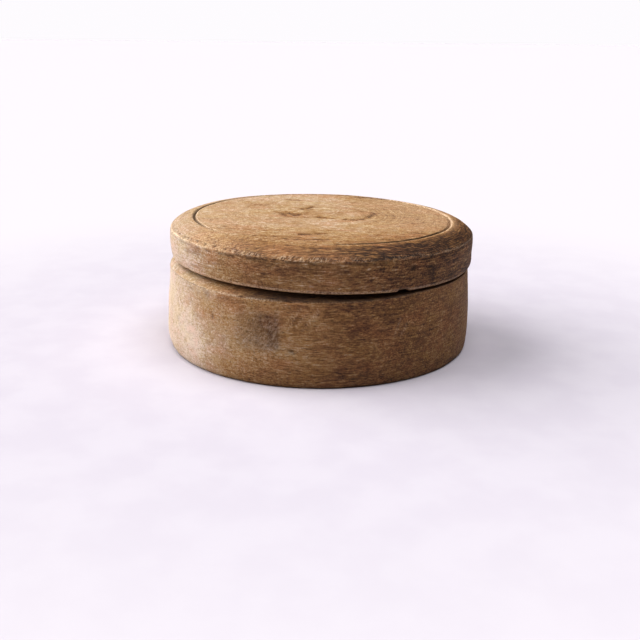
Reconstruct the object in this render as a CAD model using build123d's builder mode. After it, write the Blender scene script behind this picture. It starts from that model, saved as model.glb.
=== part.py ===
"""A turned wooden cheese mould: a round, thick-walled vat with whey drains, and its loose lid.

Millimetres, +Z up. The origin is the centre of the vat's foot, and +Z is the turning axis.
The lid rests on the vat's rim, and the boss under it fills the mouth and presses the curd.
"""

from build123d import *
import os

# Outside of the vat, from the foot up
FOOT_RADIUS = 123.8
HEEL_RADIUS = 129.0
HEEL_HEIGHT = 4.0
BELLY_RADIUS = 130.5
BELLY_HEIGHT = 20.0
SHOULDER_RADIUS = 128.0
SHOULDER_HEIGHT = 69.5
SHOULDER_ROUNDING = 1.0
RIM_FLAT_RADIUS = 117.0
RIM_HEIGHT = 72.6

# Underside of the vat, turned slightly hollow so that it stands on a flat ring
RING_INNER_RADIUS = 106.0
UNDERSIDE_HOLLOW = 1.5

# Inside of the vat
HOLLOW_RADIUS = 107.0
HOLLOW_CORNER = 6.0
FLOOR_HEIGHT = 18.0
MOUTH_CHAMFER = 1.2

# Whey drains: one in the middle of the floor, and a ring of them along a shallow turned channel
DRAIN_RADIUS = 2.4
DRAIN_RING_RADIUS = 66.0
DRAIN_RING_COUNT = 8
CHANNEL_HALF_WIDTH = 4.0
CHANNEL_DEPTH = 1.6

# Outside of the lid, from its underside up
LID_WAIST_RADIUS = 127.2
LID_CORNER_ROUNDING = 3.4
LID_BAND_RADIUS = 128.5
LID_BAND_HEIGHT = 90.0
LID_EDGE_RADIUS = 128.2
LID_EDGE_HEIGHT = 98.0
LID_SHOULDER_RADIUS = 120.8
LID_SHOULDER_HEIGHT = 104.3
LID_TOP_HEIGHT = 107.2

# Ring groove in the top of the lid
GROOVE_RADIUS = 108.9
GROOVE_HALF_WIDTH = 1.6
GROOVE_DEPTH = 2.4

# Boss under the lid, a loose fit in the vat's mouth because wet wood swells
BOSS_CLEARANCE = 2.5
BOSS_RADIUS = HOLLOW_RADIUS - BOSS_CLEARANCE
BOSS_DEPTH = 14.0
BOSS_CHAMFER = 2.0

os.makedirs("parts", exist_ok=True)

# The vat: a round-heeled wall that leans in from its low belly to a sloped rim
with BuildPart() as mould_body:
    with BuildSketch(Plane.XZ) as body_outline:
        with BuildLine():
            underside = Line((0, UNDERSIDE_HOLLOW), (RING_INNER_RADIUS, 0))
            foot_ring = Line(underside @ 1, (FOOT_RADIUS, 0))
            heel = Spline(
                foot_ring @ 1,
                (HEEL_RADIUS, HEEL_HEIGHT),
                (BELLY_RADIUS, BELLY_HEIGHT),
                tangents=[(1, 0), (0, 1)],
            )
            wall = TangentArc(heel @ 1, (SHOULDER_RADIUS, SHOULDER_HEIGHT), tangent=(0, 1))
            rim_slope = Line(wall @ 1, (RIM_FLAT_RADIUS, RIM_HEIGHT))
            Polyline(rim_slope @ 1, (0, RIM_HEIGHT), underside @ 0)
        make_face()
        fillet(body_outline.vertices().sort_by_distance(wall @ 1)[0], SHOULDER_ROUNDING)
    revolve(axis=Axis.Z)

    # The hollow that holds the curd, with a rounded corner and an eased mouth
    with BuildSketch(Plane.XZ) as hollow_outline:
        with BuildLine():
            Polyline(
                (0, FLOOR_HEIGHT),
                (HOLLOW_RADIUS, FLOOR_HEIGHT),
                (HOLLOW_RADIUS, RIM_HEIGHT - MOUTH_CHAMFER),
                (HOLLOW_RADIUS + MOUTH_CHAMFER, RIM_HEIGHT),
                (0, RIM_HEIGHT),
                close=True,
            )
        make_face()
        floor_corner = hollow_outline.vertices().sort_by_distance((HOLLOW_RADIUS, FLOOR_HEIGHT))[0]
        fillet(floor_corner, HOLLOW_CORNER)
    revolve(axis=Axis.Z, mode=Mode.SUBTRACT)

    # The channel that gathers whey on the floor
    with BuildSketch(Plane.XZ):
        with BuildLine():
            channel_mouth = Line(
                (DRAIN_RING_RADIUS - CHANNEL_HALF_WIDTH, FLOOR_HEIGHT),
                (DRAIN_RING_RADIUS + CHANNEL_HALF_WIDTH, FLOOR_HEIGHT),
            )
            ThreePointArc(
                channel_mouth @ 0,
                (DRAIN_RING_RADIUS, FLOOR_HEIGHT - CHANNEL_DEPTH),
                channel_mouth @ 1,
            )
        make_face()
    revolve(axis=Axis.Z, mode=Mode.SUBTRACT)

    # The drains, straight down through the floor
    with Locations((0, 0, FLOOR_HEIGHT)):
        Hole(DRAIN_RADIUS)
        with PolarLocations(DRAIN_RING_RADIUS, DRAIN_RING_COUNT):
            Hole(DRAIN_RADIUS)

mould_body.part.label = "mould_body"
export_step(mould_body.part, "parts/mould_body.step")

# The lid: a boss, a nearly upright band, a rounded shoulder and a flat top with a ring groove
with BuildPart() as lid:
    with BuildSketch(Plane.XZ) as lid_outline:
        with BuildLine():
            boss_floor = RIM_HEIGHT - BOSS_DEPTH
            boss = Polyline(
                (0, boss_floor),
                (BOSS_RADIUS - BOSS_CHAMFER, boss_floor),
                (BOSS_RADIUS, boss_floor + BOSS_CHAMFER),
                (BOSS_RADIUS, RIM_HEIGHT),
            )
            seat = Line(boss @ 1, (LID_WAIST_RADIUS, RIM_HEIGHT))
            band = ThreePointArc(
                seat @ 1,
                (LID_BAND_RADIUS, LID_BAND_HEIGHT),
                (LID_EDGE_RADIUS, LID_EDGE_HEIGHT),
            )
            shoulder = ThreePointArc(
                band @ 1,
                (LID_SHOULDER_RADIUS, LID_SHOULDER_HEIGHT),
                (GROOVE_RADIUS + GROOVE_HALF_WIDTH, LID_TOP_HEIGHT),
            )
            Polyline(
                shoulder @ 1,
                (GROOVE_RADIUS, LID_TOP_HEIGHT - GROOVE_DEPTH),
                (GROOVE_RADIUS - GROOVE_HALF_WIDTH, LID_TOP_HEIGHT),
                (0, LID_TOP_HEIGHT),
                boss @ 0,
            )
        make_face()
        fillet(lid_outline.vertices().sort_by_distance(seat @ 1)[0], LID_CORNER_ROUNDING)
    revolve(axis=Axis.Z)

lid.part.label = "lid"
export_step(lid.part, "parts/lid.step")
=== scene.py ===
# The looks of a turned wooden cheese mould: a vat and its loose lid, each a lathed mesh with worn
# and torn wood in its shape, and a solid-wood material whose grain runs along X right through it.
# Lengths are in millimetres and azimuths in degrees (0 at the front, -Y; 90 at the right, +X)
# until a mesh is made. Meshes, lights and the camera are in metres.

import itertools
import math
from functools import partial
from types import SimpleNamespace

import bpy
import numpy as np
from mathutils import Matrix, Vector


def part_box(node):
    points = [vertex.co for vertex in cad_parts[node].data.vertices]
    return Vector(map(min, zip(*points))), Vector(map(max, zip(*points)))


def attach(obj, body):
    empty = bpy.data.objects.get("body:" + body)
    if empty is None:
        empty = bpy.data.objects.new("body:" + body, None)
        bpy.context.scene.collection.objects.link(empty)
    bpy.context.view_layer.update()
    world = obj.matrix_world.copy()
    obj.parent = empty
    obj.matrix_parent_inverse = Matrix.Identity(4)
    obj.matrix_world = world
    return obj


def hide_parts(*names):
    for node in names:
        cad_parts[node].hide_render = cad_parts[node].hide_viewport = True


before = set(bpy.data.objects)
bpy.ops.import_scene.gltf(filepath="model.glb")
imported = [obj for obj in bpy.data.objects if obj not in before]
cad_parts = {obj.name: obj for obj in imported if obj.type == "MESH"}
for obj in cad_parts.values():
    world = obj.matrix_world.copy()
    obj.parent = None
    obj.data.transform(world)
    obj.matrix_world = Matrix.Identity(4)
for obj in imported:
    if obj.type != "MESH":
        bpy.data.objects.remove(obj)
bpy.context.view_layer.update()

MM = 0.001
VAT_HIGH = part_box("mould_body")[1] / MM
LID_LOW, LID_HIGH = (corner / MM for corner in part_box("lid"))

# Vat. Its outer size comes from the frame. Its foot and heel are a little fuller than the CAD's
BELLY_RADIUS = VAT_HIGH.x
RIM_HEIGHT = VAT_HIGH.z
FOOT_RADIUS = 126.8
HEEL_HEIGHT = 3.2
HEEL_RADIUS = 129.6
BELLY_HEIGHT = 20.0
SHOULDER_HEIGHT = 69.5
SHOULDER_RADIUS = 128.0
RIM_FLAT_RADIUS = 117.0
HOLLOW_RADIUS = 107.0
HOLLOW_CORNER = 6.0
MOUTH_CHAMFER = 1.2
FLOOR_HEIGHT = 18.0
RING_INNER_RADIUS = 106.0
UNDERSIDE_HOLLOW = 1.5
DRAIN_RADIUS = 2.4
DRAIN_RING_RADIUS = 66.0
DRAIN_RING_COUNT = 8
CHANNEL_HALF_WIDTH = 4.0
CHANNEL_DEPTH = 1.6

# Two pits in the wall, each as ((azimuth, height), (half width, half height))
VAT_PITS = [((-38.7, 48.4), (2.2, 2.2)), ((-8.5, 29.3), (4.2, 2.0))]

# Lid. Its groove is a slightly smaller ring than the CAD's
LID_RADIUS = LID_HIGH.x
LID_TOP = LID_HIGH.z
BOSS_FLOOR = LID_LOW.z
BOSS_RADIUS = 104.2
BOSS_CHAMFER = 2.0
LID_SEAT_RADIUS = 123.9
LID_WAIST_RADIUS = 127.4
LID_WAIST_HEIGHT = 76.4
LID_BAND_HEIGHT = 89.0
LID_EDGE_RADIUS = 128.2
LID_EDGE_HEIGHT = 98.7
LID_SHOULDER_RADIUS = 120.8
LID_SHOULDER_HEIGHT = 104.3
GROOVE_RADIUS = 108.5
GROOVE_HALF_WIDTH = 1.5
GROOVE_IN = GROOVE_RADIUS - GROOVE_HALF_WIDTH
GROOVE_OUT = GROOVE_RADIUS + GROOVE_HALF_WIDTH
GROOVE_DEPTH = 2.2

# A knot in its side, at (azimuth, height), and a bite in its lower edge, between two azimuths
LID_KNOT = (32.7, 90.9)
LID_KNOT_SIZE = (4.4, 3.8)
LID_BITE = (27.6, 31.6)

# Where growth rings show most in its top: round the right side of an oval, longer along X
RING_OVAL = (8, 10)
RING_OVAL_RADIUS = 34
RING_OVAL_STRETCH = 1.35

# How the old lid sits: a little to the right and lower on that side
LID_TILT = 1.04
LID_SHIFT = 2.1
SEAT_GAP = 0.15

# Length of one degree round each piece's side
LID_DEGREE = 2.24
VAT_DEGREE = 2.27

# Distance between a ring's points where it is seen and where it is hidden, and how many it may have
FINE = 0.9
COARSE = 3.2
MOST_POINTS_ROUND = 1024
FEWEST_POINTS_ROUND = 32


# ------------ noise and masks


def noise(points, seed):
    """Smooth noise, about -1 to 1, at (n, 3) points. Its cells are 1 across. The seed picks it."""
    rng = np.random.default_rng(seed)
    order = rng.permutation(256)
    slopes = rng.normal(size=(256, 3))
    slopes /= np.linalg.norm(slopes, axis=1)[:, None]
    cell = np.floor(points).astype(int)
    inside = points - cell
    fade = inside**3 * (inside * (inside * 6 - 15) + 10)
    total = np.zeros(len(points))
    for corner in itertools.product((0, 1), repeat=3):
        at = (cell + corner) & 255
        pick = order[(order[(order[at[:, 0]] + at[:, 1]) & 255] + at[:, 2]) & 255]
        weight = np.prod(np.where(corner, fade, 1 - fade), axis=1)
        total += weight * np.einsum("ij,ij->i", slopes[pick], inside - corner)
    return total * 1.5


def rough_noise(points, seed, octaves=3):
    """Several octaves of noise added up, each half the size and half the strength of the last."""
    return sum(noise(points * 2**k, seed + k) / 2**k for k in range(octaves))


def smooth(low, high, value):
    """0 below low, 1 above high and a smooth step between."""
    t = np.clip((value - low) / (high - low), 0, 1)
    return t * t * (3 - 2 * t)


def blend(a, b, amount):
    """a where the amount is 0, b where it is 1 and a mixture between."""
    return a * (1 - amount) + b * amount


def bump(value, centre, half_width):
    """1 at centre, falling smoothly to 0 at half_width on each side."""
    return 1 - smooth(0, half_width, np.abs(value - centre))


def turn_from(azimuth, centre):
    """How far an azimuth lies from a centre, from -180 to 180 degrees."""
    return (azimuth - centre + 180) % 360 - 180


def arc_mask(azimuth, start, end, soft):
    """1 between two azimuths, going round from start to end, with soft ends that many degrees long."""
    half = ((end - start) % 360) / 2
    return 1 - smooth(half - soft / 2, half + soft / 2, np.abs(turn_from(azimuth, start + half)))


def stroke_mask(x, y, stroke, half_width):
    """1 on a broken line through the stroke's points, falling to 0 at half_width from it."""
    nearest = np.full(len(x), np.inf)
    for (ax, ay), (bx, by) in itertools.pairwise(stroke):
        t = ((x - ax) * (bx - ax) + (y - ay) * (by - ay)) / ((bx - ax) ** 2 + (by - ay) ** 2)
        t = np.clip(t, 0, 1)
        nearest = np.minimum(nearest, np.hypot(x - ax - t * (bx - ax), y - ay - t * (by - ay)))
    return 1 - smooth(0, half_width, nearest)


def round_table(azimuth, table):
    """A value read round the object from (azimuth, value) pairs that run from -180 to 180."""
    at, value = zip(*table)
    return np.interp(azimuth, at, value)


def spot(shape, degree, place, size):
    """A soft spot on the side at (azimuth, height), which falls to 0 at its half width and half
    height. degree is the length of one degree round the side."""
    beside = turn_from(shape.azimuth, place[0]) * degree
    return bump(beside, 0, size[0]) * bump(shape.height, place[1], size[1])


def patchy(shape, patches, seed):
    """The sum of soft patches, each (azimuth, height, half width in degrees, half height, change)."""
    azimuth = shape.azimuth + 5 * noise(shape.points * 0.045, seed)
    height = shape.height + 6 * noise(shape.points * 0.045, seed + 1)
    total = np.zeros(len(azimuth))
    for at, up, half_width, half_height, change in patches:
        total += change * bump(turn_from(azimuth, at), 0, half_width) * bump(height, up, half_height)
    return total


# ------------ lathed meshes

# The wood reads these marks at each point of a mesh: tone (0 is nearly black, 1 bleached; round the
# sides it also holds painted light at the left and painted shade at the front and right), fresh,
# grime, stain and hatch (how much pale torn wood and painted highlight, dirt and painted shade, stain
# and torn strokes there is), turned, ringed and contrast (how strongly turning lines, growth rings
# and specks show) and along (the distance along the outline).


def line(start, end):
    """The two ends of a straight stretch."""
    return np.array([start, end], float)


def arc(start, middle, end, steps=60):
    """Points on the circle through three points."""
    (ax, ay), (bx, by), (cx, cy) = start, middle, end
    d = 2 * (ax * (by - cy) + bx * (cy - ay) + cx * (ay - by))
    a2, b2, c2 = ax**2 + ay**2, bx**2 + by**2, cx**2 + cy**2
    ux = (a2 * (by - cy) + b2 * (cy - ay) + c2 * (ay - by)) / d
    uy = (a2 * (cx - bx) + b2 * (ax - cx) + c2 * (bx - ax)) / d
    first, last = math.atan2(ay - uy, ax - ux), math.atan2(cy - uy, cx - ux)
    turn = (last - first + math.pi) % (2 * math.pi) - math.pi
    angle = first + turn * np.linspace(0, 1, steps)
    radius = math.hypot(ax - ux, ay - uy)
    return np.stack([ux + radius * np.cos(angle), uy + radius * np.sin(angle)], 1)


def curve(start, pull_a, pull_b, end, steps=60):
    """Points on a Bezier curve with two pull points."""
    t = np.linspace(0, 1, steps)[:, None]
    a, b, c, d = (np.array(p, float) for p in (start, pull_a, pull_b, end))
    return a * (1 - t) ** 3 + 3 * b * t * (1 - t) ** 2 + 3 * c * t**2 * (1 - t) + d * t**3


def walk(points, spacing):
    """The same line cut into even steps of about the spacing, without its last point."""
    run = np.concatenate([[0], np.cumsum(np.linalg.norm(np.diff(points, axis=0), axis=1))])
    steps = max(1, round(run[-1] / spacing))
    at = np.linspace(0, run[-1], steps + 1)[:-1]
    return np.stack([np.interp(at, run, points[:, k]) for k in (0, 1)], 1)


def rings_of(sections):
    """The rings of an outline given as (name, points, ring spacing, point spacing) sections.
    Also gives how far along the outline each section starts. Both its ends are on the axis."""
    outline, sizes, starts, so_far = [], [], {}, 0.0
    for name, points, spacing, size in sections:
        starts[name] = so_far
        so_far += np.linalg.norm(np.diff(points, axis=0), axis=1).sum()
        steps = walk(points, spacing)
        outline.append(steps)
        sizes += [size] * len(steps)
    outline = np.concatenate(outline)[1:]
    sizes = sizes[1:]
    counts = []
    for radius, size in zip(outline[:, 0], sizes):
        count = 2 ** math.ceil(math.log2(2 * math.pi * radius / size))
        count = min(max(count, FEWEST_POINTS_ROUND), MOST_POINTS_ROUND)
        if counts:
            count = min(max(count, counts[-1] // 2), counts[-1] * 2)
        counts.append(count)
    return outline, counts, starts


def ring_faces(first, count, next_first, next_count):
    """Faces between two neighbouring rings, one of which may have twice the other's points."""
    k = np.arange(min(count, next_count))
    if count == next_count:
        after = (k + 1) % count
        return [np.stack([first + k, next_first + k, next_first + after, first + after], 1)]
    if next_count == 2 * count:
        a, a_next = first + k, first + (k + 1) % count
        b, middle, c = (next_first + (2 * k + step) % next_count for step in (0, 1, 2))
        corners = [(a, b, middle), (a, middle, a_next), (a_next, middle, c)]
    else:
        b, b_next = next_first + k, next_first + (k + 1) % next_count
        a, middle, c = (first + (2 * k + step) % count for step in (0, 1, 2))
        corners = [(a, b, middle), (middle, b, b_next), (middle, b_next, c)]
    return [np.stack(corner, 1) for corner in corners]


def lathe(sections):
    """A closed turned shape: its faces, and for each point its place, its distance along the outline
    and the direction (out, up) in which the surface faces. between masks its points by azimuth."""
    outline, counts, starts = rings_of(sections)
    ends = np.array([[0, sections[0][1][0][1]], [0, sections[-1][1][-1][1]]])
    path = np.concatenate([ends[:1], outline, ends[1:]])
    slope = np.gradient(path, axis=0)
    slope /= np.linalg.norm(slope, axis=1)[:, None]
    along = np.concatenate([[0], np.cumsum(np.linalg.norm(np.diff(path, axis=0), axis=1))])
    sizes = [1, *counts, 1]
    azimuth = np.concatenate([np.arange(n) * 360 / n - 180 for n in sizes])
    ring = np.repeat(np.arange(len(sizes)), sizes)
    first = np.concatenate([[0], np.cumsum(sizes)])
    k = np.arange(counts[0])
    faces = [np.stack([0 * k, 1 + k, 1 + (k + 1) % counts[0]], 1)]
    for i in range(1, len(counts)):
        faces += ring_faces(first[i], counts[i - 1], first[i + 1], counts[i])
    k = np.arange(counts[-1])
    last = first[len(counts)]
    faces.append(np.stack([last + k, 0 * k + first[-2], last + (k + 1) % counts[-1]], 1))
    shape = SimpleNamespace(
        radius=path[ring, 0],
        height=path[ring, 1],
        azimuth=azimuth,
        along=along[ring],
        out=-slope[ring, 1],
        up=slope[ring, 0],
        starts=starts,
        faces=[face for block in faces for face in block.tolist()],
        between=partial(arc_mask, azimuth),
    )
    shape.x = shape.radius * np.sin(np.radians(azimuth))
    shape.y = -shape.radius * np.cos(np.radians(azimuth))
    shape.points = np.stack([shape.x, shape.y, shape.height], 1)
    return shape


def placed(shape, depth, lift=0.0, widen=0.0):
    """The shape's points sunk by depth along its surface, then raised and widened."""
    radius = shape.radius + widen - depth * shape.out
    height = shape.height + lift - depth * shape.up
    turn = np.radians(shape.azimuth)
    return np.stack([radius * np.sin(turn), -radius * np.cos(turn), height], 1)


def mesh_object(name, points, faces, marks, material):
    """A smooth mesh object, in metres, with one number per point for each of its marks."""
    mesh = bpy.data.meshes.new(name)
    mesh.from_pydata((points * MM).tolist(), [], faces)
    mesh.shade_smooth()
    for mark, values in marks.items():
        layer = mesh.attributes.new(mark, "FLOAT", "POINT")
        layer.data.foreach_set("value", np.broadcast_to(values, len(points)).astype(np.float32))
    mesh.materials.append(material)
    mesh.validate()
    piece = bpy.data.objects.new(name, mesh)
    bpy.context.scene.collection.objects.link(piece)
    return piece


# ------------ lid


def lid_outline():
    """Sections from the middle of the top, down the outside, to the middle of the boss."""
    top = LID_TOP
    groove_deep = (GROOVE_RADIUS, top - GROOVE_DEPTH)
    lip = (GROOVE_IN - 2, top)
    edge = (LID_EDGE_RADIUS, LID_EDGE_HEIGHT)
    under_edge = (LID_RADIUS, LID_EDGE_HEIGHT - 4)
    waist = (LID_WAIST_RADIUS, LID_WAIST_HEIGHT)
    seat = (LID_SEAT_RADIUS, RIM_HEIGHT)
    corner_pulls = (LID_WAIST_RADIUS - 0.3, 74.2), (126.2, RIM_HEIGHT)
    rounding = arc((GROOVE_OUT, top), (LID_SHOULDER_RADIUS, LID_SHOULDER_HEIGHT), edge)
    finer_from = 44
    boss = (BOSS_RADIUS, BOSS_FLOOR + BOSS_CHAMFER)
    boss_floor = (BOSS_RADIUS - BOSS_CHAMFER, BOSS_FLOOR)
    return [
        ("panel", line((0, top), lip), 1.9, 1.4),
        ("lip", line(lip, (GROOVE_IN, top)), 0.5, FINE),
        ("groove", line((GROOVE_IN, top), groove_deep), 0.55, FINE),
        ("groove_out", line(groove_deep, (GROOVE_OUT, top)), 0.55, FINE),
        ("shoulder", rounding[: finer_from + 1], 1.25, FINE),
        ("edge", rounding[finer_from:], 0.5, FINE),
        ("band", line(edge, under_edge), 0.5, FINE),
        ("face", arc(under_edge, (LID_RADIUS, LID_BAND_HEIGHT), waist), 1.3, FINE),
        ("corner", curve(waist, *corner_pulls, seat), 0.6, FINE),
        ("seat", line(seat, (BOSS_RADIUS, RIM_HEIGHT)), 2.4, COARSE),
        ("boss", line((BOSS_RADIUS, RIM_HEIGHT), boss), 2.2, COARSE),
        ("chamfer", line(boss, boss_floor), 0.9, COARSE),
        ("boss_floor", line(boss_floor, (0, BOSS_FLOOR)), 3.4, COARSE),
    ]


# Dark broken marks in the top: points, half width, depth and darkness
TOP_MARKS = [
    ([(-37, 13), (-34, 5), (-31, -2)], 3.4, 0.6, 0.9),
    ([(-29, 12), (-25, 6), (-23, -1), (-19, 4)], 3.6, 0.8, 1.0),
    ([(-21, 2), (-17, 9), (-13, 13)], 2.6, 0.5, 0.7),
    ([(-30, -8), (-17, -10), (-4, -5)], 2.4, 0.3, 0.5),
    ([(-4, -4), (2, -8)], 3.4, 1.0, 1.0),
    ([(7, -9), (12, -10)], 2.6, 0.5, 0.6),
    ([(20, -12), (28, -13)], 3.0, 0.8, 0.8),
    ([(32, -9), (39, -3)], 4.4, 0.4, 0.5),
    ([(40, 2), (44, 10), (45, 17)], 3.6, 0.7, 0.9),
    ([(43, 24), (35, 27)], 2.6, 0.4, 0.5),
    ([(-18, 30), (-12, 35), (-8, 42)], 3.0, 0.5, 0.8),
    ([(-16, 27), (-9, 29)], 2.4, 0.4, 0.7),
    ([(-17, -76), (-8, -75)], 2.8, 0.7, 0.9),
    ([(-4, -73), (2, -71)], 2.8, 0.7, 0.9),
    ([(-33, 74), (-21, 73)], 3.0, 0.5, 0.6),
    ([(32, 100), (44, 98)], 3.0, 0.5, 0.7),
    ([(48, 99), (60, 93)], 4.0, 0.5, 0.9),
    ([(-62, 44), (-52, 45)], 2.4, 0.3, 0.4),
    ([(70, -58), (78, -60)], 2.2, 0.4, 0.6),
    ([(-52, -84), (-16, -88)], 2.0, 0.2, 0.4),
    ([(-30, -93), (4, -94)], 2.0, 0.2, 0.5),
    ([(-70, -62), (-44, -66)], 1.8, 0.2, 0.3),
    ([(-8, -58), (16, -60)], 1.8, 0.2, 0.3),
]

# How far in front of a mark its painted highlight lies
MARK_EDGE = 3.2

# Patches of another tone on the lid's side, for patchy()
LID_PATCHES = [
    (-14, 80, 20, 7, 0.08), (-33, 88, 10, 8, -0.06), (12, 90, 9, 7, -0.09), (20, 91, 7, 6, -0.10),
    (45, 93, 14, 5, -0.07), (50, 82, 12, 6, 0.05), (3, 84, 8, 7, 0.05), (95, 86, 16, 9, -0.06),
    (150, 84, 20, 9, 0.07), (-130, 88, 22, 9, -0.07),
]

# The tone round the lid's side, and then round its shoulder, as (azimuth, tone): bleached at the
# left and dark at the front right. Part of this is the wood's own, and part is painted light at the
# left and painted shade at the front right.
LID_SIDE_TONE_AND_SHADING = [
    (-180, 0.52), (-140, 0.56), (-110, 0.76), (-85, 0.93), (-65, 0.92), (-50, 0.88), (-35, 0.65),
    (-20, 0.46), (-5, 0.52), (10, 0.57), (25, 0.42), (55, 0.29), (90, 0.34), (130, 0.48), (180, 0.52),
]
LID_SHOULDER_TONE_AND_SHADING = [
    (-180, 0.62), (-130, 0.66), (-80, 0.84), (-65, 0.84), (-50, 0.66), (-35, 0.54), (-20, 0.49),
    (-5, 0.46), (10, 0.31), (25, 0.15), (55, 0.14), (75, 0.26), (100, 0.50), (140, 0.60), (180, 0.62),
]


def lid_shape():
    """The lathed lid, with masks of its parts and the distance past its upper edge."""
    s = lathe(lid_outline())
    s.past_edge = s.along - s.starts["band"]
    s.upper = s.along < s.starts["seat"]
    s.over_band = s.height > LID_BAND_HEIGHT
    s.on_top = s.height > LID_TOP - 1
    s.on_shoulder = smooth(GROOVE_RADIUS + 1, GROOVE_RADIUS + 10, s.radius)
    s.on_side = smooth(-1.0, 1.0, s.past_edge + 1.2 * noise(s.points * 0.3, 20))
    s.under = smooth(s.starts["corner"], s.starts["seat"], s.along)
    return s


def torn_edge_and_shadow(s):
    """Wear along the lid's upper edge: chips, short strokes across it and dark dots above it, and a painted
    shadow just below it.
    """
    front = s.between(-100, 75, 30)
    chips = smooth(0.10, 0.75, rough_noise(s.points * [0.16, 0.16, 0.08], 11))
    ragged = smooth(0.0, 0.8, rough_noise(s.points * [0.42, 0.42, 0.12], 12))
    strokes = noise(s.points * [0.60, 0.60, 0.10], 13)
    hatch = smooth(-5.2, -2.4, s.past_edge) * (1 - smooth(0.4, 1.4, s.past_edge)) * s.upper
    hatch *= s.between(-42, 60, 24)
    hatch *= smooth(-0.6, 0.2, noise(s.points * 0.06, 10))
    hatch *= 0.38 + 0.62 * s.between(-32, 8, 16)

    # Dark dots in the shoulder just above the edge, and just below it a broken dark line, which is painted
    # shadow, strongest from the front to the right
    dots = bump(s.past_edge, -3.0, 2.2) * s.between(-85, -28, 20)
    dots *= smooth(0.0, 0.45, noise(s.points * [0.32, 0.32, 0.25], 24))
    below = bump(s.past_edge, 1.9, 1.8) * (0.35 + 0.65 * s.between(-45, 60, 30))
    below *= s.between(-85, 60, 20)
    below *= smooth(-0.5, 0.4, noise(s.points * [0.15, 0.15, 0.1], 23))

    depth = bump(s.past_edge, 0, 5.0) * s.upper
    depth *= (0.10 + 0.45 * chips + 0.35 * ragged) * (0.35 + 0.65 * front)
    depth += hatch * 0.20 * smooth(-0.2, 0.5, strokes)
    depth += 0.10 * bump(s.past_edge, 0, 1.0) + 0.6 * dots
    return SimpleNamespace(depth=depth, hatch=hatch, grime=np.maximum(0.60 * below, 0.5 * dots))


def groove_wear_and_shading(s):
    """The groove: where wear has filled it up again, how dark it is, which is painted shade, darkest at the
    front right, and painted highlights on its lips, the inner one at the left and the outer one at the
    right.
    """
    wander = s.azimuth + 4 * noise(s.points * 0.12, 14)
    kept = np.maximum(arc_mask(wander, 6, -90, 9), arc_mask(wander, 90, -57, 22)) * 0.92 + 0.08
    sunk = LID_TOP - s.height
    inside = np.abs(s.radius - GROOVE_RADIUS) < GROOVE_HALF_WIDTH
    filled = np.maximum(sunk, 0) * (1 - kept) * inside * s.over_band

    # The groove's darkness is painted shade, with a painted dark line along its inner lip at the front
    # right
    dark = bump(s.radius, GROOVE_RADIUS, GROOVE_HALF_WIDTH + 1) * s.over_band
    dark *= kept * smooth(0.0, 0.3, sunk)
    dark *= 0.72 + 0.28 * s.between(-5, 62, 14)
    dark *= 1 - 0.80 * s.between(72, 150, 20)
    shaded_inner_lip = bump(s.radius, GROOVE_IN, 1.0) * s.over_band * arc_mask(wander, 10, 62, 12)
    dark = np.maximum(dark, 0.9 * shaded_inner_lip)

    # Painted highlights on the inner lip at the left and on the outer lip at the right
    highlight_inside = bump(s.radius, GROOVE_IN - 0.2, 1.2) * (0.10 + 0.75 * s.between(-115, -47, 20))
    highlight_outside = bump(s.radius, GROOVE_OUT, 1.3) * (0.15 + 0.80 * s.between(62, 150, 24))
    pale = np.maximum(highlight_inside, highlight_outside) * (s.height > LID_EDGE_HEIGHT)
    return SimpleNamespace(filled=filled, dark=dark, pale=pale)


def top_marks(s):
    """The marks in the top, broken up along the grain. Each has a soft dark surround and, along the
    edge in front of it, a painted highlight."""
    broken = smooth(-0.7, 0.1, noise(s.points * [0.28, 0.6, 0.0], 15))
    depth, dark, lit, soft = np.zeros((4, len(s.x)))
    for stroke, half_width, sunk, darkness in TOP_MARKS:
        mark = stroke_mask(s.x, s.y, stroke, 1.3 * half_width) * broken * s.on_top
        front_edge = stroke_mask(s.x, s.y + MARK_EDGE, stroke, half_width) * broken * s.on_top
        around = stroke_mask(s.x, s.y, stroke, 3.2 * half_width) * s.on_top
        depth = np.maximum(depth, mark * sunk)
        dark = np.maximum(dark, mark * darkness)
        lit = np.maximum(lit, front_edge * darkness)
        soft = np.maximum(soft, around * darkness)
    return SimpleNamespace(depth=depth, dark=dark, lit=lit * (1 - dark), soft=soft)


def seated(points):
    """The lid's points, with the whole lid leaning and off centre."""
    lean = math.radians(LID_TILT)
    x, y, z = points[:, 0], points[:, 1], points[:, 2] - RIM_HEIGHT
    across = x * math.cos(lean) + z * math.sin(lean) + LID_SHIFT
    height = z * math.cos(lean) - x * math.sin(lean) + RIM_HEIGHT
    return np.stack([across, y, height], 1)


def lid_tone(s, figure):
    """How pale the lid's wood is: 0 is nearly black with age, 1 is bleached. Round the side and the
    shoulder it also holds painted light at the left and painted shade at the front right.
    """
    blotch = rough_noise(s.points * [0.016, 0.03, 0.03], 19)
    panel = 0.78 - 0.16 * smooth(-35, -105, s.y) - 0.18 * smooth(0, 90, s.x)
    panel -= 0.03 * smooth(-40, -90, s.x)
    tone = blend(panel, round_table(s.azimuth, LID_SHOULDER_TONE_AND_SHADING), s.on_shoulder)
    tone = blend(tone, round_table(s.azimuth, LID_SIDE_TONE_AND_SHADING), s.on_side)
    tone += 0.07 * blotch - 0.40 * figure.dark - 0.13 * figure.soft
    tone += patchy(s, LID_PATCHES, 25) * s.on_side
    return blend(tone, 0.60 + 0.07 * blotch, s.under)


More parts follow.
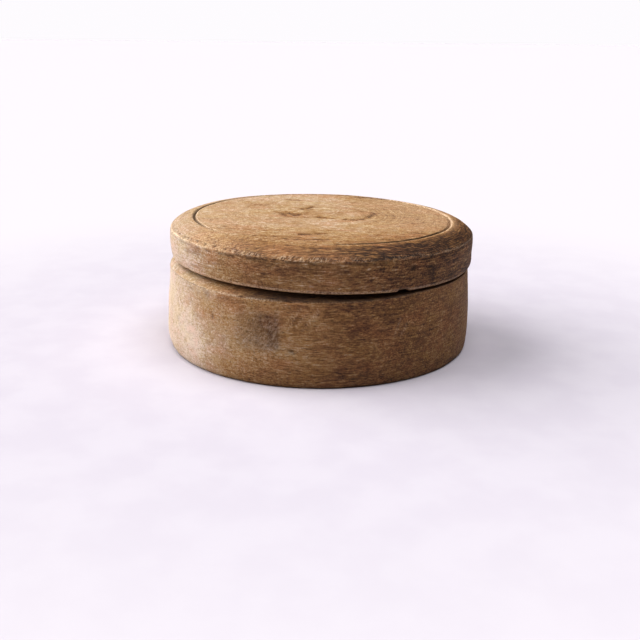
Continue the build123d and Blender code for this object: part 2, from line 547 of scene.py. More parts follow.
def lid_fresh_and_highlight(s, figure, groove):
    """Fresh, pale wood where the lid is torn, rubbed or bleached, and painted highlights: on its upper
    edge, most at the left, on the groove's lips, and along the front edges of the marks in the top.
    """
    # The upper edge's crest: rubbed pale wood with a painted highlight, strong at the left and faint at the
    # right
    crest = bump(s.past_edge, -0.3, 1.4) * smooth(-0.7, 0.1, noise(s.points * [0.12, 0.12, 0.2], 21))
    crest *= 0.06 + 1.15 * s.between(-105, -44, 30) + 0.22 * s.between(42, 95, 16)
    bleached = 0.24 * smooth(0, 90, s.x) * smooth(-75, -10, s.y) * (1 - s.on_shoulder)
    bleached += 0.22 * smooth(-40, -95, s.x) * (1 - s.on_side)
    lower_lip = bump(s.height, RIM_HEIGHT + 1.8, 1.8) * (s.radius > LID_SEAT_RADIUS)
    fresh_and_highlight = [crest * s.upper, bleached * s.upper, 0.45 * lower_lip, 0.35 * figure.lit, groove.pale]
    return np.maximum.reduce(fresh_and_highlight)


def lid_stain(s):
    """Grey stains: one at the front of the side, streaks round it, and both ends of the shoulder."""
    front = s.between(-22, 4, 16) * bump(s.height, 93, 7) * s.on_side
    front *= 0.35 + 0.35 * noise(s.points * [0.06, 0.2, 0.2], 22)
    streaks = smooth(0.2, 0.7, noise(s.points * [0.035, 0.10, 0.30], 26)) * s.on_side * (1 - s.under)
    left = s.between(-112, -54, 20) * s.on_shoulder * (1 - s.on_side) * s.upper
    right = s.between(28, 92, 30) * s.on_shoulder * (1 - s.under)
    return np.maximum.reduce([front, 0.40 * streaks, 0.38 * left, 0.10 * right])


def make_lid(grain):
    s = lid_shape()
    edge, groove, figure = torn_edge_and_shadow(s), groove_wear_and_shading(s), top_marks(s)

    # The lower edge: a bite, nicks, and a corner that is worn towards the left
    low_edge = bump(s.height, RIM_HEIGHT + 1.2, 4.5) * (s.radius > LID_SEAT_RADIUS - 4)
    bite = low_edge * s.between(*LID_BITE, 1.2) * 1.5
    nicks = low_edge * 0.7 * smooth(0.35, 0.9, rough_noise(s.points * [0.14, 0.14, 0.05], 16))
    at_corner = smooth(s.starts["face"] + 5, s.starts["corner"] + 2, s.along)
    at_corner *= 1 - smooth(s.starts["seat"] - 0.5, s.starts["seat"] + 8, s.along)
    worn_corner = (0.6 - 1.25 * s.x / 100) * at_corner

    # Slow unevenness, grain raised along X, a knot, and a shape no longer quite round
    slow = 0.35 * noise(s.points * [0.02, 0.02, 0.03], 17) * s.upper
    raised = 0.10 * noise(s.points * [0.03, 0.22, 0.22], 18) * s.upper
    knot = spot(s, LID_DEGREE, LID_KNOT, LID_KNOT_SIZE) * (s.radius > LID_SEAT_RADIUS)
    depth = edge.depth + figure.depth + bite + nicks + slow + raised + 0.5 * knot - groove.filled
    widen = 0.35 * np.cos(np.radians(2 * (s.azimuth + 60))) * smooth(104, 118, s.radius)
    widen += 0.8 * s.between(60, 125, 30) * bump(s.height, 78, 7) * (s.radius > 125)

    # Darker in what is sunk and where the lid meets the vat: painted shade in the groove, painted shadow
    # under the upper edge, and darker marks, dots, knot, bite and seat
    seat = smooth(s.starts["seat"], s.starts["seat"] + 3, s.along)
    seat *= 1 - smooth(s.starts["boss"], s.starts["boss"] + 10, s.along) * 0.8
    grime = [groove.dark, 0.14 * figure.dark, edge.grime, 0.95 * knot, 0.35 * bite, 0.55 * seat]

    # How strongly the turning lines, the growth rings and the finer figure show
    right_side = s.between(12, 120, 40)
    back = 1 - s.between(-85, 60, 50)
    turned = np.where(s.upper, 0.15 + (0.80 + 0.55 * right_side) * s.on_shoulder, 0.9)
    from_oval = np.hypot((s.x - RING_OVAL[0]) / RING_OVAL_STRETCH, s.y - RING_OVAL[1])
    by_oval = bump(from_oval, RING_OVAL_RADIUS, 20) * smooth(-30, 40, s.x) * s.on_top
    ringed = 0.7 + 3.6 * by_oval + 1.4 * back * s.on_shoulder
    contrast = 0.85 + 1.35 * (1 - s.on_shoulder) * s.upper + 0.3 * s.on_side
    contrast -= 0.3 * right_side * s.on_side + 0.4 * right_side * s.on_shoulder * (1 - s.on_side)
    contrast *= 1 - 0.45 * back * s.on_shoulder

    marks = {
        "tone": lid_tone(s, figure),
        "fresh_and_highlight": lid_fresh_and_highlight(s, figure, groove),
        "grime": np.maximum.reduce(grime),
        "stain": lid_stain(s),
        "hatch": edge.hatch,
        "turned": turned,
        "along": s.along,
        "ringed": ringed,
        "contrast": contrast,
    }
    points = seated(placed(s, depth, lift=worn_corner, widen=widen))
    return mesh_object("lid_wood", points, s.faces, marks, grain)


# ------------ vat


# Pale scratches on the front of the vat: distances round the wall from the front, and heights
SCRATCHES = [
    [(-27, 46), (-19, 57)],
    [(-23, 45), (-15, 60), (-12, 64)],
    [(-16, 49), (-9, 58)],
    [(-12, 46), (-4, 56), (0, 63)],
    [(-6, 50), (1, 61)],
    [(-1, 47), (3, 52)],
    [(60, 38), (66, 52)],
    [(72, 47), (66, 38)],
]

# Patches of another tone on the vat's wall, for patchy()
VAT_PATCHES = [
    (-28, 63, 14, 8, -0.14), (-42, 54, 12, 13, -0.08), (-22, 37, 8, 6, 0.07), (-13, 31, 13, 11, 0.08),
    (-7, 53, 5, 20, -0.08), (2, 52, 9, 15, 0.08), (10, 51, 10, 5, -0.12), (10, 12, 8, 10, -0.12),
    (18, 33, 10, 8, 0.08), (29, 24, 8, 17, -0.10), (38, 46, 14, 8, 0.06), (60, 60, 11, 13, 0.10),
    (48, 15, 12, 9, 0.05), (-66, 24, 20, 18, -0.05), (100, 40, 18, 14, -0.08), (140, 30, 20, 16, 0.07),
    (-150, 48, 22, 14, -0.07), (-115, 25, 16, 12, 0.06),
]

# The tone round the vat's wall and the slope above it, as (azimuth, tone). Both are pale at the
# left and dark at the front and right, partly the wood's own and partly painted light at the left
# and painted shade at the front and right; the slope's dark front is painted shade under the lid.
VAT_TONE_AND_SHADING = [
    (-180, 0.54), (-140, 0.58), (-110, 0.82), (-85, 0.95), (-65, 0.95), (-50, 0.94), (-35, 0.74),
    (-20, 0.60), (-5, 0.56), (10, 0.44), (25, 0.39), (55, 0.43), (90, 0.48), (130, 0.51), (180, 0.54),
]
RIM_SLOPE_TONE_AND_SHADING = [
    (-180, 0.55), (-110, 0.85), (-75, 0.92), (-50, 0.83), (-35, 0.62), (-20, 0.38), (-5, 0.27),
    (20, 0.25), (90, 0.40), (130, 0.50), (180, 0.60),
]


def vat_outline():
    """Sections from the middle of the hollow, over the rim, to the middle of the underside."""
    rim = RIM_HEIGHT
    mouth = (HOLLOW_RADIUS, rim - MOUTH_CHAMFER)
    rim_in = (HOLLOW_RADIUS + MOUTH_CHAMFER, rim)
    rim_out = (RIM_FLAT_RADIUS, rim)
    shoulder = (SHOULDER_RADIUS, SHOULDER_HEIGHT)
    shoulder_low = (SHOULDER_RADIUS + 0.1, SHOULDER_HEIGHT - 2.4)
    corner_low = (HOLLOW_RADIUS - HOLLOW_CORNER, FLOOR_HEIGHT)
    corner_high = (HOLLOW_RADIUS, FLOOR_HEIGHT + HOLLOW_CORNER)
    belly = (BELLY_RADIUS, BELLY_HEIGHT)
    heel = (HEEL_RADIUS, HEEL_HEIGHT)
    channel_in = (DRAIN_RING_RADIUS - CHANNEL_HALF_WIDTH, FLOOR_HEIGHT)
    channel_out = (DRAIN_RING_RADIUS + CHANNEL_HALF_WIDTH, FLOOR_HEIGHT)
    channel_deep = (DRAIN_RING_RADIUS, FLOOR_HEIGHT - CHANNEL_DEPTH)
    eased = (HOLLOW_RADIUS - 0.3 * HOLLOW_CORNER, FLOOR_HEIGHT + 0.3 * HOLLOW_CORNER)
    return [
        ("floor", line((0, FLOOR_HEIGHT), channel_in), 3.2, 2.2),
        ("channel", arc(channel_in, channel_deep, channel_out), 1.0, 2.0),
        ("outer_floor", line(channel_out, corner_low), 2.6, 2.2),
        ("corner", arc(corner_low, eased, corner_high), 1.3, 1.6),
        ("hollow", line(corner_high, mouth), 2.6, 1.6),
        ("mouth", line(mouth, rim_in), 0.6, 1.0),
        ("rim", line(rim_in, rim_out), 1.5, FINE),
        ("slope", line(rim_out, shoulder), 1.1, FINE),
        ("shoulder", line(shoulder, shoulder_low), 0.5, FINE),
        ("wall", curve(shoulder_low, (129.2, 52), (BELLY_RADIUS, 36), belly), 2.0, FINE),
        ("heel", curve(belly, (BELLY_RADIUS, 12), (BELLY_RADIUS - 0.4, 7), heel), 1.6, FINE),
        ("foot", curve(heel, (HEEL_RADIUS - 0.15, 1.2), (FOOT_RADIUS + 2, 0), (FOOT_RADIUS, 0)), 0.8, FINE),
        ("foot_ring", line((FOOT_RADIUS, 0), (RING_INNER_RADIUS, 0)), 2.6, 1.6),
        ("underside", line((RING_INNER_RADIUS, 0), (0, UNDERSIDE_HOLLOW)), 4.0, 2.6),
    ]


def drain_cutter(grain):
    """The nine drains, as closed burnt-in holes that a boolean takes out of the vat's floor."""
    places = [(0.0, 0.0)]
    for k in range(DRAIN_RING_COUNT):
        turn = 2 * math.pi * k / DRAIN_RING_COUNT
        places.append((DRAIN_RING_RADIUS * math.cos(turn), DRAIN_RING_RADIUS * math.sin(turn)))
    sides, rings, beyond = 28, 9, 6
    height = np.linspace(-beyond, FLOOR_HEIGHT + beyond, rings)
    flare = 0.5 * smooth(FLOOR_HEIGHT - 4.5, FLOOR_HEIGHT + 0.5, height) + 0.35 * smooth(3.5, 0, height)
    turns = [2 * math.pi * k / sides for k in range(sides)]
    points, faces = [], []
    rng = np.random.default_rng(31)
    for x, y in places:
        base = len(points)
        wobble = 1 + 0.05 * rng.normal(size=sides)
        for z, wide in zip(height, flare):
            for turn, radius in zip(turns, (DRAIN_RADIUS + wide) * wobble):
                points.append((x + radius * math.cos(turn), y + radius * math.sin(turn), z))
        for ring in range(rings - 1):
            for k in range(sides):
                a, b = base + ring * sides + k, base + ring * sides + (k + 1) % sides
                faces.append((a, b, b + sides, a + sides))
        faces.append(tuple(base + k for k in reversed(range(sides))))
        faces.append(tuple(base + (rings - 1) * sides + k for k in range(sides)))
    marks = dict.fromkeys(("fresh_and_highlight", "hatch", "turned", "along"), 0.0)
    marks.update(tone=0.42, grime=0.75, stain=0.3, ringed=1.0, contrast=1.0)
    return mesh_object("drain_cutter", np.array(points), faces, marks, grain)


def vat_shape():
    """The lathed vat, with masks of its parts and the distance past its shoulder edge."""
    s = lathe(vat_outline())
    s.past_shoulder = s.along - s.starts["shoulder"]
    s.inside = s.along < s.starts["mouth"]
    s.outside = smooth(s.starts["slope"], s.starts["slope"] + 3, s.along)
    s.outside *= 1 - smooth(s.starts["foot_ring"], s.starts["underside"], s.along)
    s.on_slope = smooth(s.starts["rim"], s.starts["slope"], s.along)
    s.on_slope *= 1 - smooth(s.starts["shoulder"] - 1, s.starts["shoulder"] + 1, s.along)
    return s


def vat_wear(s, pits):
    """How deep the vat's surface is worn."""
    left = bump(turn_from(s.azimuth, -90), 0, 90)

    # The heel is rounder and fuller on the left, and the wall leans in a little more there
    heel = bump(s.height, 2.0, 7.0) * s.outside
    depth = heel * (0.9 * left + 0.3 * smooth(0.1, 0.8, rough_noise(s.points * [0.05, 0.05, 0.1], 41)))
    depth += 0.9 * left * bump(s.height, 60, 22) * s.outside
    depth -= 0.6 * left * bump(s.height, 14, 16) * s.outside

    # A rubbed and nicked shoulder edge
    nicks = smooth(0.15, 0.8, rough_noise(s.points * [0.12, 0.12, 0.06], 42))
    depth += bump(s.past_shoulder, 0, 2.2) * (0.25 + 0.8 * nicks)

    # Slow unevenness, grain raised along X, and pits
    depth += 0.35 * noise(s.points * [0.018, 0.018, 0.03], 43) * s.outside
    depth += 0.10 * noise(s.points * [0.03, 0.22, 0.22], 44) * s.outside
    return depth + 0.8 * pits


def rim_lift(s):
    """The rim leans with the lid that wore it and stays just clear of the lid's seat. Its slope is
    fuller at the left and back, and lower at the front and where the lid's corner comes down."""
    down_slope = (s.along - s.starts["slope"]) / (s.starts["shoulder"] - s.starts["slope"])
    down_slope = np.clip(down_slope, 0, 1)
    at_rim = smooth(s.starts["mouth"] - 24, s.starts["mouth"], s.along) * (1 - down_slope)
    lift = -at_rim * (s.x * math.tan(math.radians(LID_TILT)) + SEAT_GAP)
    lift += 6.0 * down_slope * (1 - down_slope) * s.between(-135, 0, 60)
    lift -= 1.7 * bump(s.past_shoulder, 0, 12) * s.between(-50, 28, 30)
    lift -= 0.8 * bump(s.past_shoulder, -2.5, 7) * s.between(48, 124, 24)
    return lift


def vat_tone(s):
    """How pale the vat's wood is: 0 is nearly black with age, 1 is bleached. Round the wall and the rim's
    slope it also holds painted light at the left and painted shade at the front and right.
    """
    tone = round_table(s.azimuth, VAT_TONE_AND_SHADING) + 0.05 * bump(s.height, 24, 22)
    tone += 0.08 * rough_noise(s.points * [0.014, 0.03, 0.03], 45) + patchy(s, VAT_PATCHES, 53)
    within = 0.62 + 0.09 * rough_noise(s.points * [0.02, 0.04, 0.04], 46)
    tone = blend(within, tone, s.outside)
    return blend(tone, round_table(s.azimuth, RIM_SLOPE_TONE_AND_SHADING), s.on_slope)


def vat_fresh(s):
    """Fresh, pale wood on the vat: its rubbed crest, scuffs and scratches."""
    crest = (0.15 + 0.75 * s.between(-62, -16, 16)) * bump(s.past_shoulder, 0, 1.5)
    crest *= smooth(-0.7, 0.0, noise(s.points * [0.1, 0.1, 0.2], 47))
    scuffs = smooth(0.45, 0.8, noise(s.points * [0.09, 0.09, 0.25], 48)) * s.outside
    fresh_and_highlight = np.maximum(crest, 0.072 * scuffs)
    round_wall = np.radians(s.azimuth) * BELLY_RADIUS
    for scratch in SCRATCHES:
        fresh_and_highlight = np.maximum(fresh_and_highlight, 0.28 * stroke_mask(round_wall, s.height, scratch, 0.9) * s.outside)
    return fresh_and_highlight


def vat_grime(s, pits):
    """Painted shadow under the lid and painted shade on the rim's slope at the front and right, darker
    round the foot, in the pits and in the drain channel, and grime where whey stood.
    """
    # Painted shadow under the lid's overhang, densest from the front round the right side
    shadow_under_lid = bump(s.along, s.starts["slope"] - 1, 9.5) * (0.12 + 0.88 * s.between(-40, 140, 36))
    # Painted shade on the rim's slope at the front and right
    shaded = s.on_slope * s.between(-26, 60, 25)
    foot = bump(s.height, 0, 4.5) * s.outside
    whey = smooth(0.0, 0.7, rough_noise(s.points * [0.03, 0.03, 0.05], 49)) * s.inside
    channel = bump(s.radius, DRAIN_RING_RADIUS, CHANNEL_HALF_WIDTH + 2) * s.inside * (s.height < 30)
    grime = [0.85 * shadow_under_lid, 0.6 * shaded, 0.35 * foot, 0.8 * pits, 0.3 * whey, 0.45 * channel]
    return np.maximum.reduce(grime)


def stained_patch(s):
    """Where the big stain lies on the front of the wall. It is densest towards its right side."""
    height = s.height + 3 * noise(s.points * 0.12, 54)
    patch = s.between(-29, -12.5, 3) * smooth(25, 34, height) * (1 - smooth(52, 64, height))
    return patch * (0.35 + 0.65 * smooth(-30, -16, s.azimuth)) * s.outside


def vat_stain(s, patch):
    """Grey stains: the big patch, streaks round the wall, and scuffed wood below the shoulder."""
    big = patch * (0.85 + 0.35 * noise(s.points * [0.5, 0.1, 0.05], 50))
    streaks = smooth(0.25, 0.8, noise(s.points * [0.02, 0.10, 0.10], 51)) * s.outside
    scuffed = s.between(-54, -26, 14) * bump(s.height, 65.5, 5) * s.outside
    scuffed *= smooth(-0.3, 0.5, noise(s.points * [0.12, 0.12, 0.2], 52))
    return np.maximum.reduce([big, 0.25 * streaks, 0.5 * scuffed])


def make_vat(grain):
    s = vat_shape()
    pits = np.maximum.reduce([spot(s, VAT_DEGREE, place, size) for place, size in VAT_PITS]) * s.outside
    patch = stained_patch(s)
    points = placed(s, vat_wear(s, pits), lift=rim_lift(s))

    # Wear takes nothing below the floor, and none of the underside
    lowest = np.where(s.along > s.starts["foot_ring"], s.height, 0.0)
    points[:, 2] = np.maximum(points[:, 2], lowest)

    back = 1 - s.between(-85, 40, 50)
    right_side = s.between(12, 120, 40)
    end_grain = s.between(-135, -72, 30)
    calm = 0.35 * back + 0.3 * s.between(10, 120, 40) + 0.40 * s.between(-85, -30, 24)
    marks = {
        "tone": vat_tone(s),
        "fresh_and_highlight": vat_fresh(s),
        "grime": vat_grime(s, pits),
        "stain": vat_stain(s, patch),
        "hatch": 0.35 * patch,
        "turned": 0.9 - (0.5 - 0.5 * right_side) * s.outside,
        "along": s.along,
        "ringed": 1 + (1.3 * back + 5 * end_grain) * s.outside,
        "contrast": 1 - calm * s.outside,
    }
    vat = mesh_object("vat_wood", points, s.faces, marks, grain)
    cutter = drain_cutter(grain)
    cut = vat.modifiers.new("drains", "BOOLEAN")
    cut.operation = "DIFFERENCE"
    cut.solver = "MANIFOLD"
    cut.object = cutter
    bpy.context.view_layer.objects.active = vat
    bpy.ops.object.modifier_apply(modifier=cut.name)
    bpy.data.objects.remove(cutter)
    return vat


# ------------ wood


class Graph:
    """Adds nodes to a material. A socket may stand wherever a number may, and all but node and
    finish return an output socket."""

    def __init__(self, name):
        self.material = bpy.data.materials.new(name)
        self.material.use_nodes = True
        self.tree = self.material.node_tree
        self.tree.nodes.clear()

    def node(self, kind, values=(), **settings):
        made = self.tree.nodes.new(kind)
        for setting, value in settings.items():
            setattr(made, setting, value)
        for socket, value in dict(values).items():
            if isinstance(value, bpy.types.NodeSocket):
                self.tree.links.new(value, made.inputs[socket])
            else:
                made.inputs[socket].default_value = value
        return made

    def math(self, operation, a, b=0.0, clamp=False):
        return self.node("ShaderNodeMath", {0: a, 1: b}, operation=operation, use_clamp=clamp).outputs[0]

    def times(self, a, b, clamp=False):
        return self.math("MULTIPLY", a, b, clamp)

    def plus(self, a, b):
        return self.math("ADD", a, b)

    def minus(self, a, b):
        return self.math("SUBTRACT", a, b)

    def vector(self, operation, a, b):
        return self.node("ShaderNodeVectorMath", {0: a, 1: b}, operation=operation).outputs[0]

    def noise(self, at, scale, detail=2.0, rough=0.5, colour=False):
        """Noise at a position. scale is one number, or one for each axis."""
        if not isinstance(scale, (int, float)):
            at, scale = self.vector("MULTIPLY", at, scale), 1.0
        values = {"Vector": at, "Scale": scale, "Detail": detail, "Roughness": rough}
        made = self.node("ShaderNodeTexNoise", values)
        return made.outputs["Color" if colour else "Fac"]

    def step(self, value, low, high, bottom=0.0, top=1.0):
        """A smooth step from bottom to top as the value goes from low to high."""
        values = {"Value": value, "From Min": low, "From Max": high, "To Min": bottom, "To Max": top}
        return self.node("ShaderNodeMapRange", values, interpolation_type="SMOOTHSTEP").outputs[0]

    def mix(self, amount, a, b, blend_type="MIX"):
        """Colour a where the amount is 0 and b where it is 1."""
        values = {0: amount, 6: a, 7: b}
        return self.node("ShaderNodeMix", values, data_type="RGBA", blend_type=blend_type).outputs[2]

    def mark(self, name):
        """One of the numbers that the mesh holds for each point."""
        return self.node("ShaderNodeAttribute", attribute_name=name).outputs["Fac"]

    def ramp(self, value, stops):
        """The colour at a value, from (value, colour) stops."""
        made = self.node("ShaderNodeValToRGB", {"Fac": value})
        elements = made.color_ramp.elements
        while len(elements) < len(stops):
            elements.new(0.5)
        for element, (at, colour) in zip(elements, stops):
            element.position, element.color = at, (*colour, 1)
        return made.outputs["Color"]

    def finish(self, looks):
        """Gives the material its surface."""
        shader = self.node("ShaderNodeBsdfPrincipled", looks)
        self.node("ShaderNodeOutputMaterial", {"Surface": shader.outputs[0]})


# The wood's colours by tone, in linear light
WOOD_TONES = [
    (0.00, (0.034, 0.015, 0.008)),
    (0.20, (0.103, 0.048, 0.022)),
    (0.35, (0.179, 0.085, 0.035)),
    (0.50, (0.268, 0.138, 0.055)),
    (0.62, (0.352, 0.195, 0.080)),
    (0.74, (0.416, 0.267, 0.144)),
    (0.86, (0.490, 0.352, 0.234)),
    (1.00, (0.665, 0.548, 0.452)),
]
# Pale fresh wood, also used for painted highlights, and near-black dirt, also used for painted shade
PALE_WOOD_AND_HIGHLIGHT = (0.80, 0.63, 0.46, 1)
GRIME_AND_SHADE_COLOUR = (0.024, 0.013, 0.008, 1)

# Colours that the wood is multiplied by
STAIN = (0.44, 0.41, 0.45, 1)
RUDDY = (1.03, 0.945, 0.93, 1)
YELLOWED = (0.99, 0.98, 0.88, 1)

# How far the grain wanders, how much of that the rings follow, and the length of the pith's top
GRAIN_SWAY = 16.0
RING_SWAY = 0.7
PITH_LENGTH = 40.0

# Radius at which patterns round the axis are measured, and the finest relief's height in metres
ROUND_RADIUS = 128.0
RELIEF_HEIGHT = 0.0006


def growth_rings(g, here, sway, pith, pith_dip):
    """Growth rings round a pith that passes through (x, y, z) and dips away each way along X."""
    swayed = g.vector("ADD", here, g.vector("MULTIPLY", sway, (0.0, RING_SWAY, RING_SWAY)))
    x, y, z = g.node("ShaderNodeSeparateXYZ", {0: swayed}).outputs
    along = g.math("DIVIDE", g.minus(x, pith[0]), PITH_LENGTH)
    dip = g.math("SQRT", g.plus(g.times(along, along), 1.0))
    dip = g.times(g.minus(dip, 1.0), pith_dip)
    y_off = g.minus(y, pith[1])
    z_off = g.plus(g.minus(z, pith[2]), dip)
    squares = g.plus(g.times(y_off, y_off), g.times(z_off, z_off))
    ring_at = g.node("ShaderNodeCombineXYZ", {0: g.math("SQRT", squares)}).outputs[0]
    wide, fine = g.noise(ring_at, 0.20, 1.0), g.noise(ring_at, 0.62, 1.0)
    return g.plus(g.times(wide, 0.5), g.times(fine, 0.5))


def place_on_outline(g, here):
    """A position round the axis and along the outline, for patterns that the lathe left."""
    flat = g.vector("MULTIPLY", here, (1.0, 1.0, 0.0))
    around = g.node("ShaderNodeVectorMath", {0: flat}, operation="NORMALIZE").outputs[0]
    around = g.vector("MULTIPLY", around, (ROUND_RADIUS, ROUND_RADIUS, 0.0))
    return g.vector("ADD", around, g.node("ShaderNodeCombineXYZ", {2: g.mark("along")}).outputs[0])


def torn_strokes(g, round_at):
    """Short upright strokes that lean a little, where fibre ends are torn."""
    along = g.node("ShaderNodeCombineXYZ", {0: g.mark("along")}).outputs[0]
    slanted = g.vector("ADD", round_at, g.vector("MULTIPLY", along, (0.5, 0.0, 0.0)))
    return g.noise(slanted, (0.85, 0.85, 0.30), 3.0, 0.7)


def wood(name, pith, pith_dip, ring_strength, shift):
    """Solid wood with its grain along X. shift moves all of its pattern but the growth rings."""
    g = Graph(name)
    here = g.node("ShaderNodeTexCoord").outputs["Object"]
    here = g.vector("MULTIPLY", here, (1 / MM, 1 / MM, 1 / MM))
    moved = g.vector("ADD", here, shift)

    # Wandering grain
    sway = g.noise(moved, (0.010, 0.022, 0.022), 2.0, colour=True)
    sway = g.vector("SUBTRACT", sway, (0.5, 0.5, 0.5))
    sway = g.vector("MULTIPLY", sway, (0.0, GRAIN_SWAY, GRAIN_SWAY))
    at = g.vector("ADD", moved, sway)
    rings = growth_rings(g, here, sway, pith, pith_dip)

    # Fibres and pores, long along X, so that they show as dots on the end grain
    fibres = g.noise(at, (0.065, 0.50, 0.50), 3.0, 0.6)
    fine_fibres = g.noise(at, (0.16, 1.2, 1.2), 2.0, 0.6)
    pores = g.step(g.noise(at, (0.22, 1.7, 1.7), 1.0), 0.60, 0.72)
    few_pores = g.step(g.noise(at, (0.07, 0.60, 0.60), 1.0), 0.66, 0.76)
    mottle = g.noise(moved, 0.16, 3.0, 0.6)
    dapple = g.noise(moved, (0.22, 0.36, 0.36), 3.0, 0.6)
    specks = g.noise(moved, 0.80, 2.0, 0.6)

    # Turning lines, which run round the axis
    round_at = place_on_outline(g, here)
    lines = g.noise(round_at, (0.09, 0.09, 0.95), 3.0, 0.65)
    line_figure = g.times(g.minus(lines, 0.5), g.mark("turned"))

    # The figure: each pattern's swing about its middle. Darker wood shows it more
    tone, contrast = g.mark("tone"), g.mark("contrast")
    figure = g.times(line_figure, 0.9)
    patterns = (
        (rings, g.times(g.mark("ringed"), ring_strength)),
        (fibres, 0.60),
        (fine_fibres, 0.80),
        (mottle, 0.26),
        (specks, g.times(contrast, 0.46)),
        (dapple, g.times(contrast, 0.32)),
    )
    for pattern, strength in patterns:
        swing = g.times(g.minus(pattern, 0.5), strength)
        figure = g.plus(swing, figure)
    figure = g.times(figure, g.minus(1.55, tone))
    tone = g.plus(tone, figure)
    colour = g.ramp(tone, WOOD_TONES)

    # Ruddy and yellowed patches, stains, pale fresh wood and painted highlights, and pores
    hue = g.noise(moved, (0.035, 0.07, 0.07), 3.0, 0.55)
    colour = g.mix(g.step(hue, 0.48, 0.66), colour, RUDDY, "MULTIPLY")
    colour = g.mix(g.step(hue, 0.54, 0.36), colour, YELLOWED, "MULTIPLY")
    grime, fresh_and_highlight, hatch = g.mark("grime"), g.mark("fresh_and_highlight"), g.mark("hatch")
    colour = g.mix(g.mark("stain"), colour, STAIN, "MULTIPLY")
    colour = g.mix(g.times(fresh_and_highlight, g.step(specks, 0.30, 0.62), clamp=True), colour, PALE_WOOD_AND_HIGHLIGHT)
    colour = g.mix(g.times(pores, 0.50), colour, GRIME_AND_SHADE_COLOUR)
    colour = g.mix(g.times(few_pores, g.step(tone, 1.05, 0.70, 0.16, 0.42)), colour, GRIME_AND_SHADE_COLOUR)

    # Torn fibre ends, pale and dark, and over everything the dirt and painted shade
    strokes = torn_strokes(g, round_at)
    pale = g.times(hatch, g.step(strokes, 0.50, 0.60), clamp=True)
    dark = g.times(hatch, g.step(strokes, 0.47, 0.37), clamp=True)
    colour = g.mix(g.times(pale, 0.45), colour, PALE_WOOD_AND_HIGHLIGHT)
    colour = g.mix(g.times(dark, 0.6), colour, GRIME_AND_SHADE_COLOUR)
    grime_at = g.times(grime, g.step(mottle, 0.25, 0.55, 0.75, 1.0), clamp=True)
    colour = g.mix(grime_at, colour, GRIME_AND_SHADE_COLOUR)

    # Relief finer than the mesh
    height = g.times(g.times(strokes, hatch), 1.5)
    reliefs = (
        (fibres, 0.5),
        (fine_fibres, 0.6),
        (specks, 0.3),
        (pores, -0.4),
        (few_pores, -0.4),
        (line_figure, 0.9),
    )
    for pattern, strength in reliefs:
        height = g.plus(height, g.times(pattern, strength))
    values = {"Height": height, "Strength": 0.8, "Distance": RELIEF_HEIGHT}
    relief = g.node("ShaderNodeBump", values).outputs[0]

    rough = g.plus(g.times(mottle, 0.22), 0.55)
    rough = g.plus(rough, g.times(grime, 0.12))
    g.finish({"Base Color": colour, "Roughness": rough, "Normal": relief, "Specular IOR Level": 0.30})
    return g.material


# ------------ stage, light and camera


FLOOR_HALF = 40.0
FLOOR_NEAR = (0.532, 0.502, 0.560, 1)
FLOOR_CLOUD = (0.552, 0.524, 0.578, 1)
FLOOR_FAR = (0.600, 0.575, 0.612, 1)
BACKGROUND = (0.99, 0.97, 0.995, 1)
FILL = (0.96, 0.95, 1.0, 1)
FILL_STRENGTH = 0.06


def make_floor():
    mesh = bpy.data.meshes.new("floor")
    half = FLOOR_HALF
    corners = [(-half, -half, 0), (half, -half, 0), (half, half, 0), (-half, half, 0)]
    mesh.from_pydata(corners, [], [(0, 1, 2, 3)])
    floor = bpy.data.objects.new("floor", mesh)
    bpy.context.scene.collection.objects.link(floor)
    g = Graph("floor_paint")
    at = g.node("ShaderNodeTexCoord").outputs["Object"]
    cloud = g.noise(at, 25.0, 3.0, 0.5)
    colour = g.mix(g.step(cloud, 0.35, 0.65), FLOOR_NEAR, FLOOR_CLOUD)
    away = g.node("ShaderNodeVectorMath", {0: at}, operation="LENGTH").outputs["Value"]
    colour = g.mix(g.step(away, 0.22, 0.62), colour, FLOOR_FAR)
    g.finish({"Base Color": colour, "Roughness": 1.0, "Specular IOR Level": 0.0})
    mesh.materials.append(g.material)


def make_sun(name, towards, strength, angle, colour):
    """A soft distant light. towards is the direction from the object to the light."""
    light = bpy.data.lights.new(name, "SUN")
    light.energy = strength
    light.angle = math.radians(angle)
    light.color = colour
    sun = bpy.data.objects.new(name, light)
    sun.rotation_mode = "QUATERNION"
    sun.rotation_quaternion = Vector(towards).to_track_quat("Z", "Y")
    bpy.context.scene.collection.objects.link(sun)


def background(tree, colour, strength):
    node = tree.nodes.new("ShaderNodeBackground")
    node.inputs["Color"].default_value = colour
    node.inputs["Strength"].default_value = strength
    return node.outputs[0]


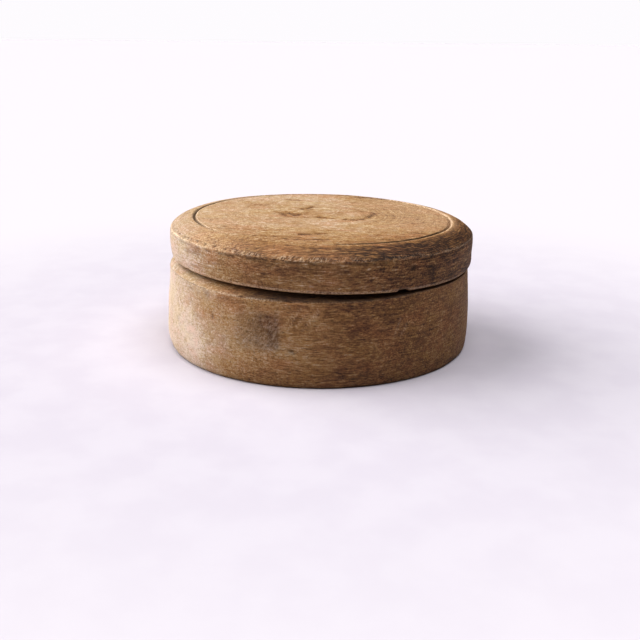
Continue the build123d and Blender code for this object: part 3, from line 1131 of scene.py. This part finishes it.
def make_light():
    """A broad light from the left, a softer one from above, and a weak fill. The background that
    is seen is brighter than the fill."""
    make_sun("key", (-0.97, 0.22, 0.66), 4.6, 70, (1.0, 0.985, 0.96))
    make_sun("overhead", (0.18, -0.08, 1.0), 2.65, 44, (1.0, 1.0, 1.0))
    world = bpy.data.worlds.new("studio")
    world.use_nodes = True
    tree = world.node_tree
    tree.nodes.clear()
    ray = tree.nodes.new("ShaderNodeLightPath")
    either = tree.nodes.new("ShaderNodeMixShader")
    out = tree.nodes.new("ShaderNodeOutputWorld")
    tree.links.new(ray.outputs["Is Camera Ray"], either.inputs[0])
    tree.links.new(background(tree, FILL, FILL_STRENGTH), either.inputs[1])
    tree.links.new(background(tree, BACKGROUND, 1.0), either.inputs[2])
    tree.links.new(either.outputs[0], out.inputs["Surface"])
    bpy.context.scene.world = world


CAMERA_PLACE = (1.7, -752.8, 253.9)
CAMERA_PITCH = 17.7
CAMERA_ROLL = 0.55
CAMERA_LENS = 50.0
CAMERA_SENSOR = 36.0


def make_camera():
    data = bpy.data.cameras.new("camera")
    data.lens = CAMERA_LENS
    data.sensor_width = CAMERA_SENSOR
    camera = bpy.data.objects.new("camera", data)
    pitch, roll = math.radians(CAMERA_PITCH), math.radians(CAMERA_ROLL)
    level = Vector((1, 0, 0))
    upright = Vector((0, math.sin(pitch), math.cos(pitch)))
    right = level * math.cos(roll) + upright * math.sin(roll)
    up = upright * math.cos(roll) - level * math.sin(roll)
    turn = Matrix((right, up, right.cross(up))).transposed()
    camera.matrix_world = Matrix.Translation(Vector(CAMERA_PLACE) * MM) @ turn.to_4x4()
    bpy.context.scene.collection.objects.link(camera)
    bpy.context.scene.camera = camera


# ------------ the model


bpy.context.scene.view_settings.view_transform = "Standard"
bpy.context.scene.view_settings.gamma = 0.85
make_camera()
make_light()
make_floor()

# The lid's pith arches up in the middle, so that the rings show as ovals in its top
lid_grain = wood("lid_grain", (6.0, 12.0, LID_TOP - 50.0), 44.0, 0.50, (0.0, 0.0, 0.0))
lid = make_lid(lid_grain)
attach(lid, "lid")
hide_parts("lid")

# The vat's pith lies below it and sags a little in the middle
vat_grain = wood("vat_grain", (-20.0, 35.0, -30.0), -9.0, 0.22, (310.0, 170.0, 90.0))
vat = make_vat(vat_grain)
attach(vat, "mould_body")
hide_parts("mould_body")
